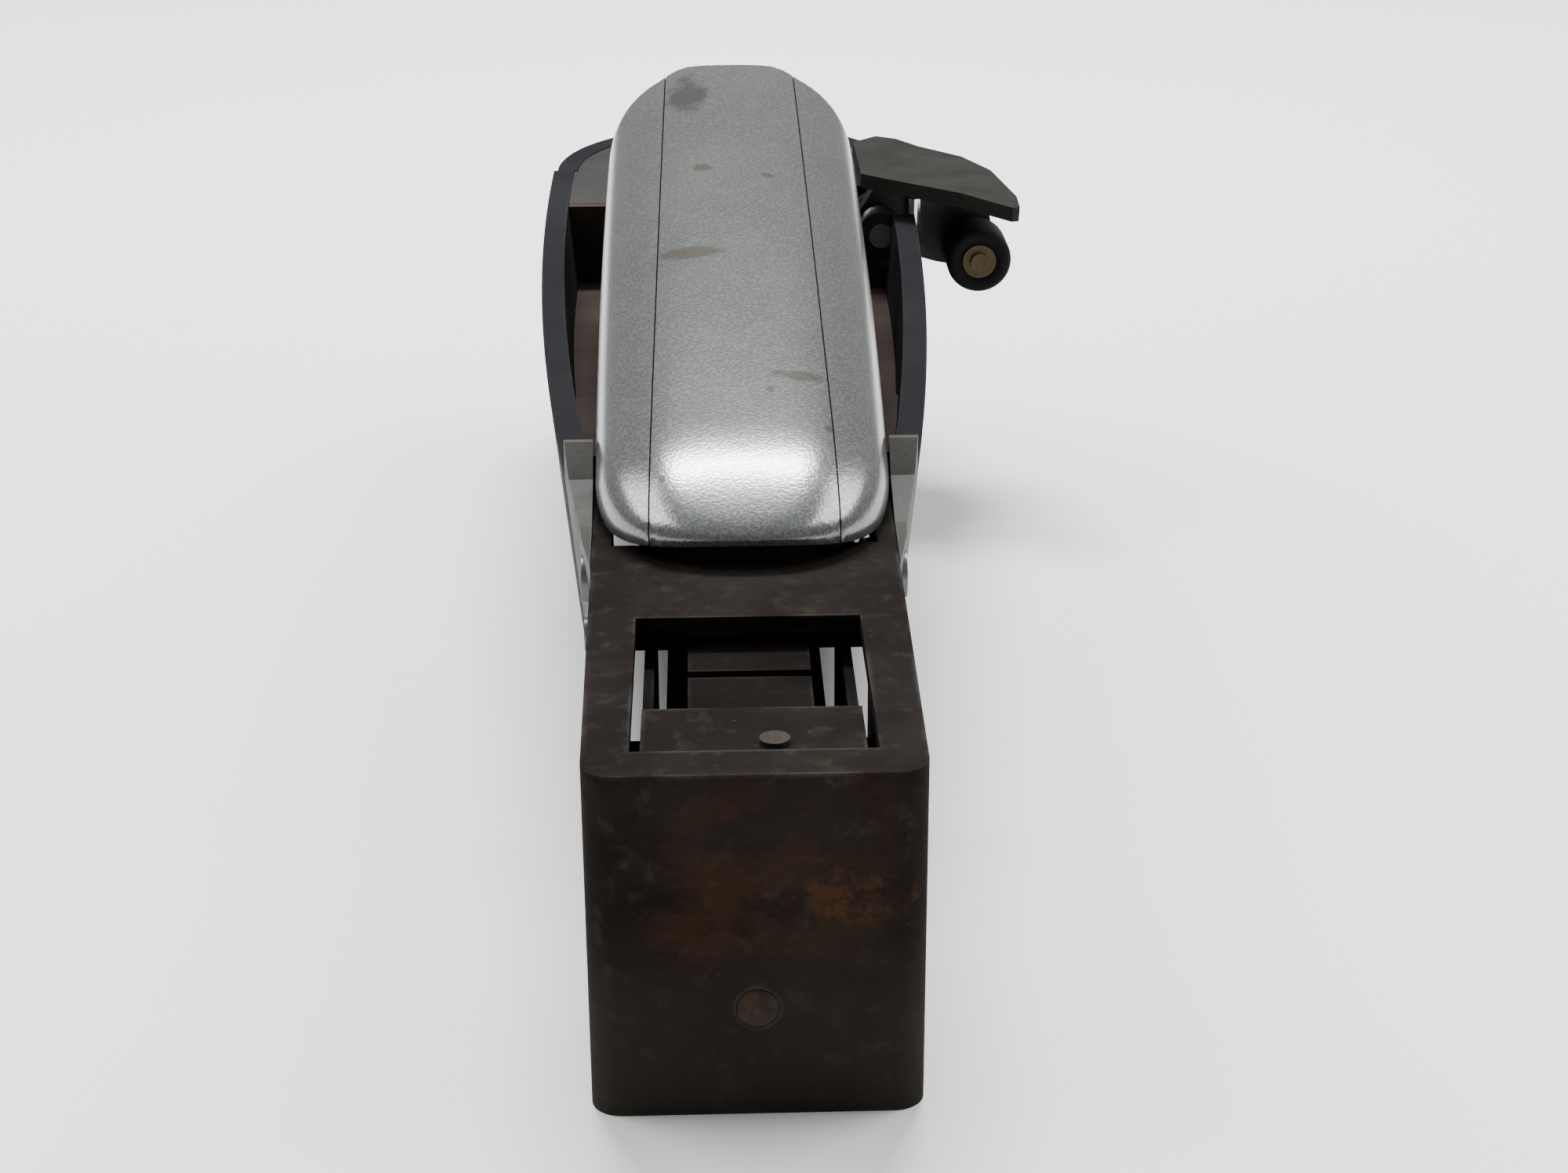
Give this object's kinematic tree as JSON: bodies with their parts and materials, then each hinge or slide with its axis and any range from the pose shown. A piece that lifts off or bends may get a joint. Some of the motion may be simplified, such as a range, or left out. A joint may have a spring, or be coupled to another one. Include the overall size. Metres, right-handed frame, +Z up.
{
  "type": "hand stapler",
  "caption": "Hand stapler with a black steel nose, silver squeeze handle, oval black grip and a side release lever with roller.",
  "frame": {"origin": "on the underside of the magazine channel, 80 mm behind the nose face, midway across the nose", "axes": "+Z up, -Y out of the nose face, +X towards the side with the release lever"},
  "size_m": [0.0532, 0.1713, 0.0506],
  "materials": {
    "black_steel": "worn black oxide with rust",
    "rusty_steel": "rusty",
    "worn_steel": "worn, dull",
    "cast_alloy": "cast, satin, scuffed",
    "black_plastic": "fine grain",
    "well_plastic": "dusty, fine grain",
    "deck_plastic": "fine grain",
    "bright_steel": "bright",
    "zinc_steel": "zinc plated",
    "spring_steel": "oiled",
    "rubber_pad": "matte",
    "grey_steel": "dull grey",
    "chrome_steel": "polished",
    "silver_paint": "satin metallic",
    "liner_plastic": "matte",
    "dark_steel": "worn grey",
    "roller_rubber": "matte",
    "brass": "dull",
    "staple_wire": "bright wire",
    "pusher_brass": "yellow passivated"
  },
  "bodies": {
    "body": {"nose_housing": "black_steel", "nose_rivet": "rusty_steel", "guide_channel": "worn_steel", "spring_seat": "worn_steel", "cheek_left": "cast_alloy", "cheek_right": "cast_alloy", "grip_left": "black_plastic", "grip_right": "black_plastic", "grip_tray": "well_plastic", "rear_deck": "deck_plastic", "grip_screws": "bright_steel", "magazine_channel": "zinc_steel", "channel_bridge": "worn_steel", "catch_leaf": "spring_steel", "pivot_pin": "bright_steel", "rocker_pin": "bright_steel", "bumper": "rubber_pad", "main_spring": "spring_steel", "return_spring": "spring_steel", "lever_bracket": "grey_steel", "lever_spring": "spring_steel", "lever_axle": "chrome_steel", "staples": "staple_wire"},
    "handle": {"handle_strip": "silver_paint", "handle_side_left": "silver_paint", "handle_side_right": "silver_paint", "handle_liner": "liner_plastic", "handle_frame": "grey_steel", "handle_screws": "bright_steel", "actuator_pin": "bright_steel"},
    "rocker": {"rocker": "worn_steel"},
    "plunger": {"plunger": "black_steel", "driver_blade": "bright_steel", "plunger_rivets": "rusty_steel"},
    "release_lever": {"lever_plate": "dark_steel", "lever_arm": "grey_steel", "lever_stud": "chrome_steel", "roller_pin": "brass"},
    "lever_roller": {"roller": "roller_rubber", "roller_hub": "brass"},
    "rail": {"staple_rail": "zinc_steel", "rail_pull": "liner_plastic", "guide_rod": "bright_steel", "pusher_spring": "spring_steel"},
    "pusher": {"pusher": "pusher_brass"}
  },
  "joints": [
    {"name": "handle_hinge", "type": "hinge", "parent": "body", "child": "handle", "pos_m": [0, -0.034, 0.023], "axis": [1, 0, 0], "range_deg": [-8, 0], "stiffness_Nm_per_rad": 2, "springref_deg": 28.65},
    {"name": "rocker_hinge", "type": "hinge", "parent": "body", "child": "rocker", "pos_m": [0, -0.032, 0.017], "axis": [1, 0, 0], "range_deg": [-9.4, 0]},
    {"name": "plunger_slide", "type": "slide", "parent": "body", "child": "plunger", "axis": [0, 0, 1], "range_m": [0, 0.0066], "deforming": ["main_spring"]},
    {"name": "release_lever_hinge", "type": "hinge", "parent": "body", "child": "release_lever", "pos_m": [0.0173, 0.059, 0.0301], "axis": [0, -1, 0], "range_deg": [0, 20], "stiffness_Nm_per_rad": 0.02, "springref_deg": -28.65},
    {"name": "roller_spin", "type": "hinge", "parent": "release_lever", "child": "lever_roller", "pos_m": [0.02845, 0.054, 0.0274], "axis": [0, 1, 0], "continuous": true},
    {"name": "rail_slide", "type": "slide", "parent": "body", "child": "rail", "axis": [0, 1, 0], "range_m": [0, 0.06]},
    {"name": "pusher_slide", "type": "slide", "parent": "rail", "child": "pusher", "axis": [0, 1, 0], "range_m": [0, 0.03], "stiffness_N_per_m": 10, "springref_m": -0.03, "deforming": ["pusher_spring"]}
  ],
  "couplings": [
    {"joint": "rocker_hinge", "follows": "handle_hinge", "ratio": 1.173},
    {"joint": "plunger_slide", "follows": "handle_hinge", "m_per_rad": -0.0469}
  ]
}
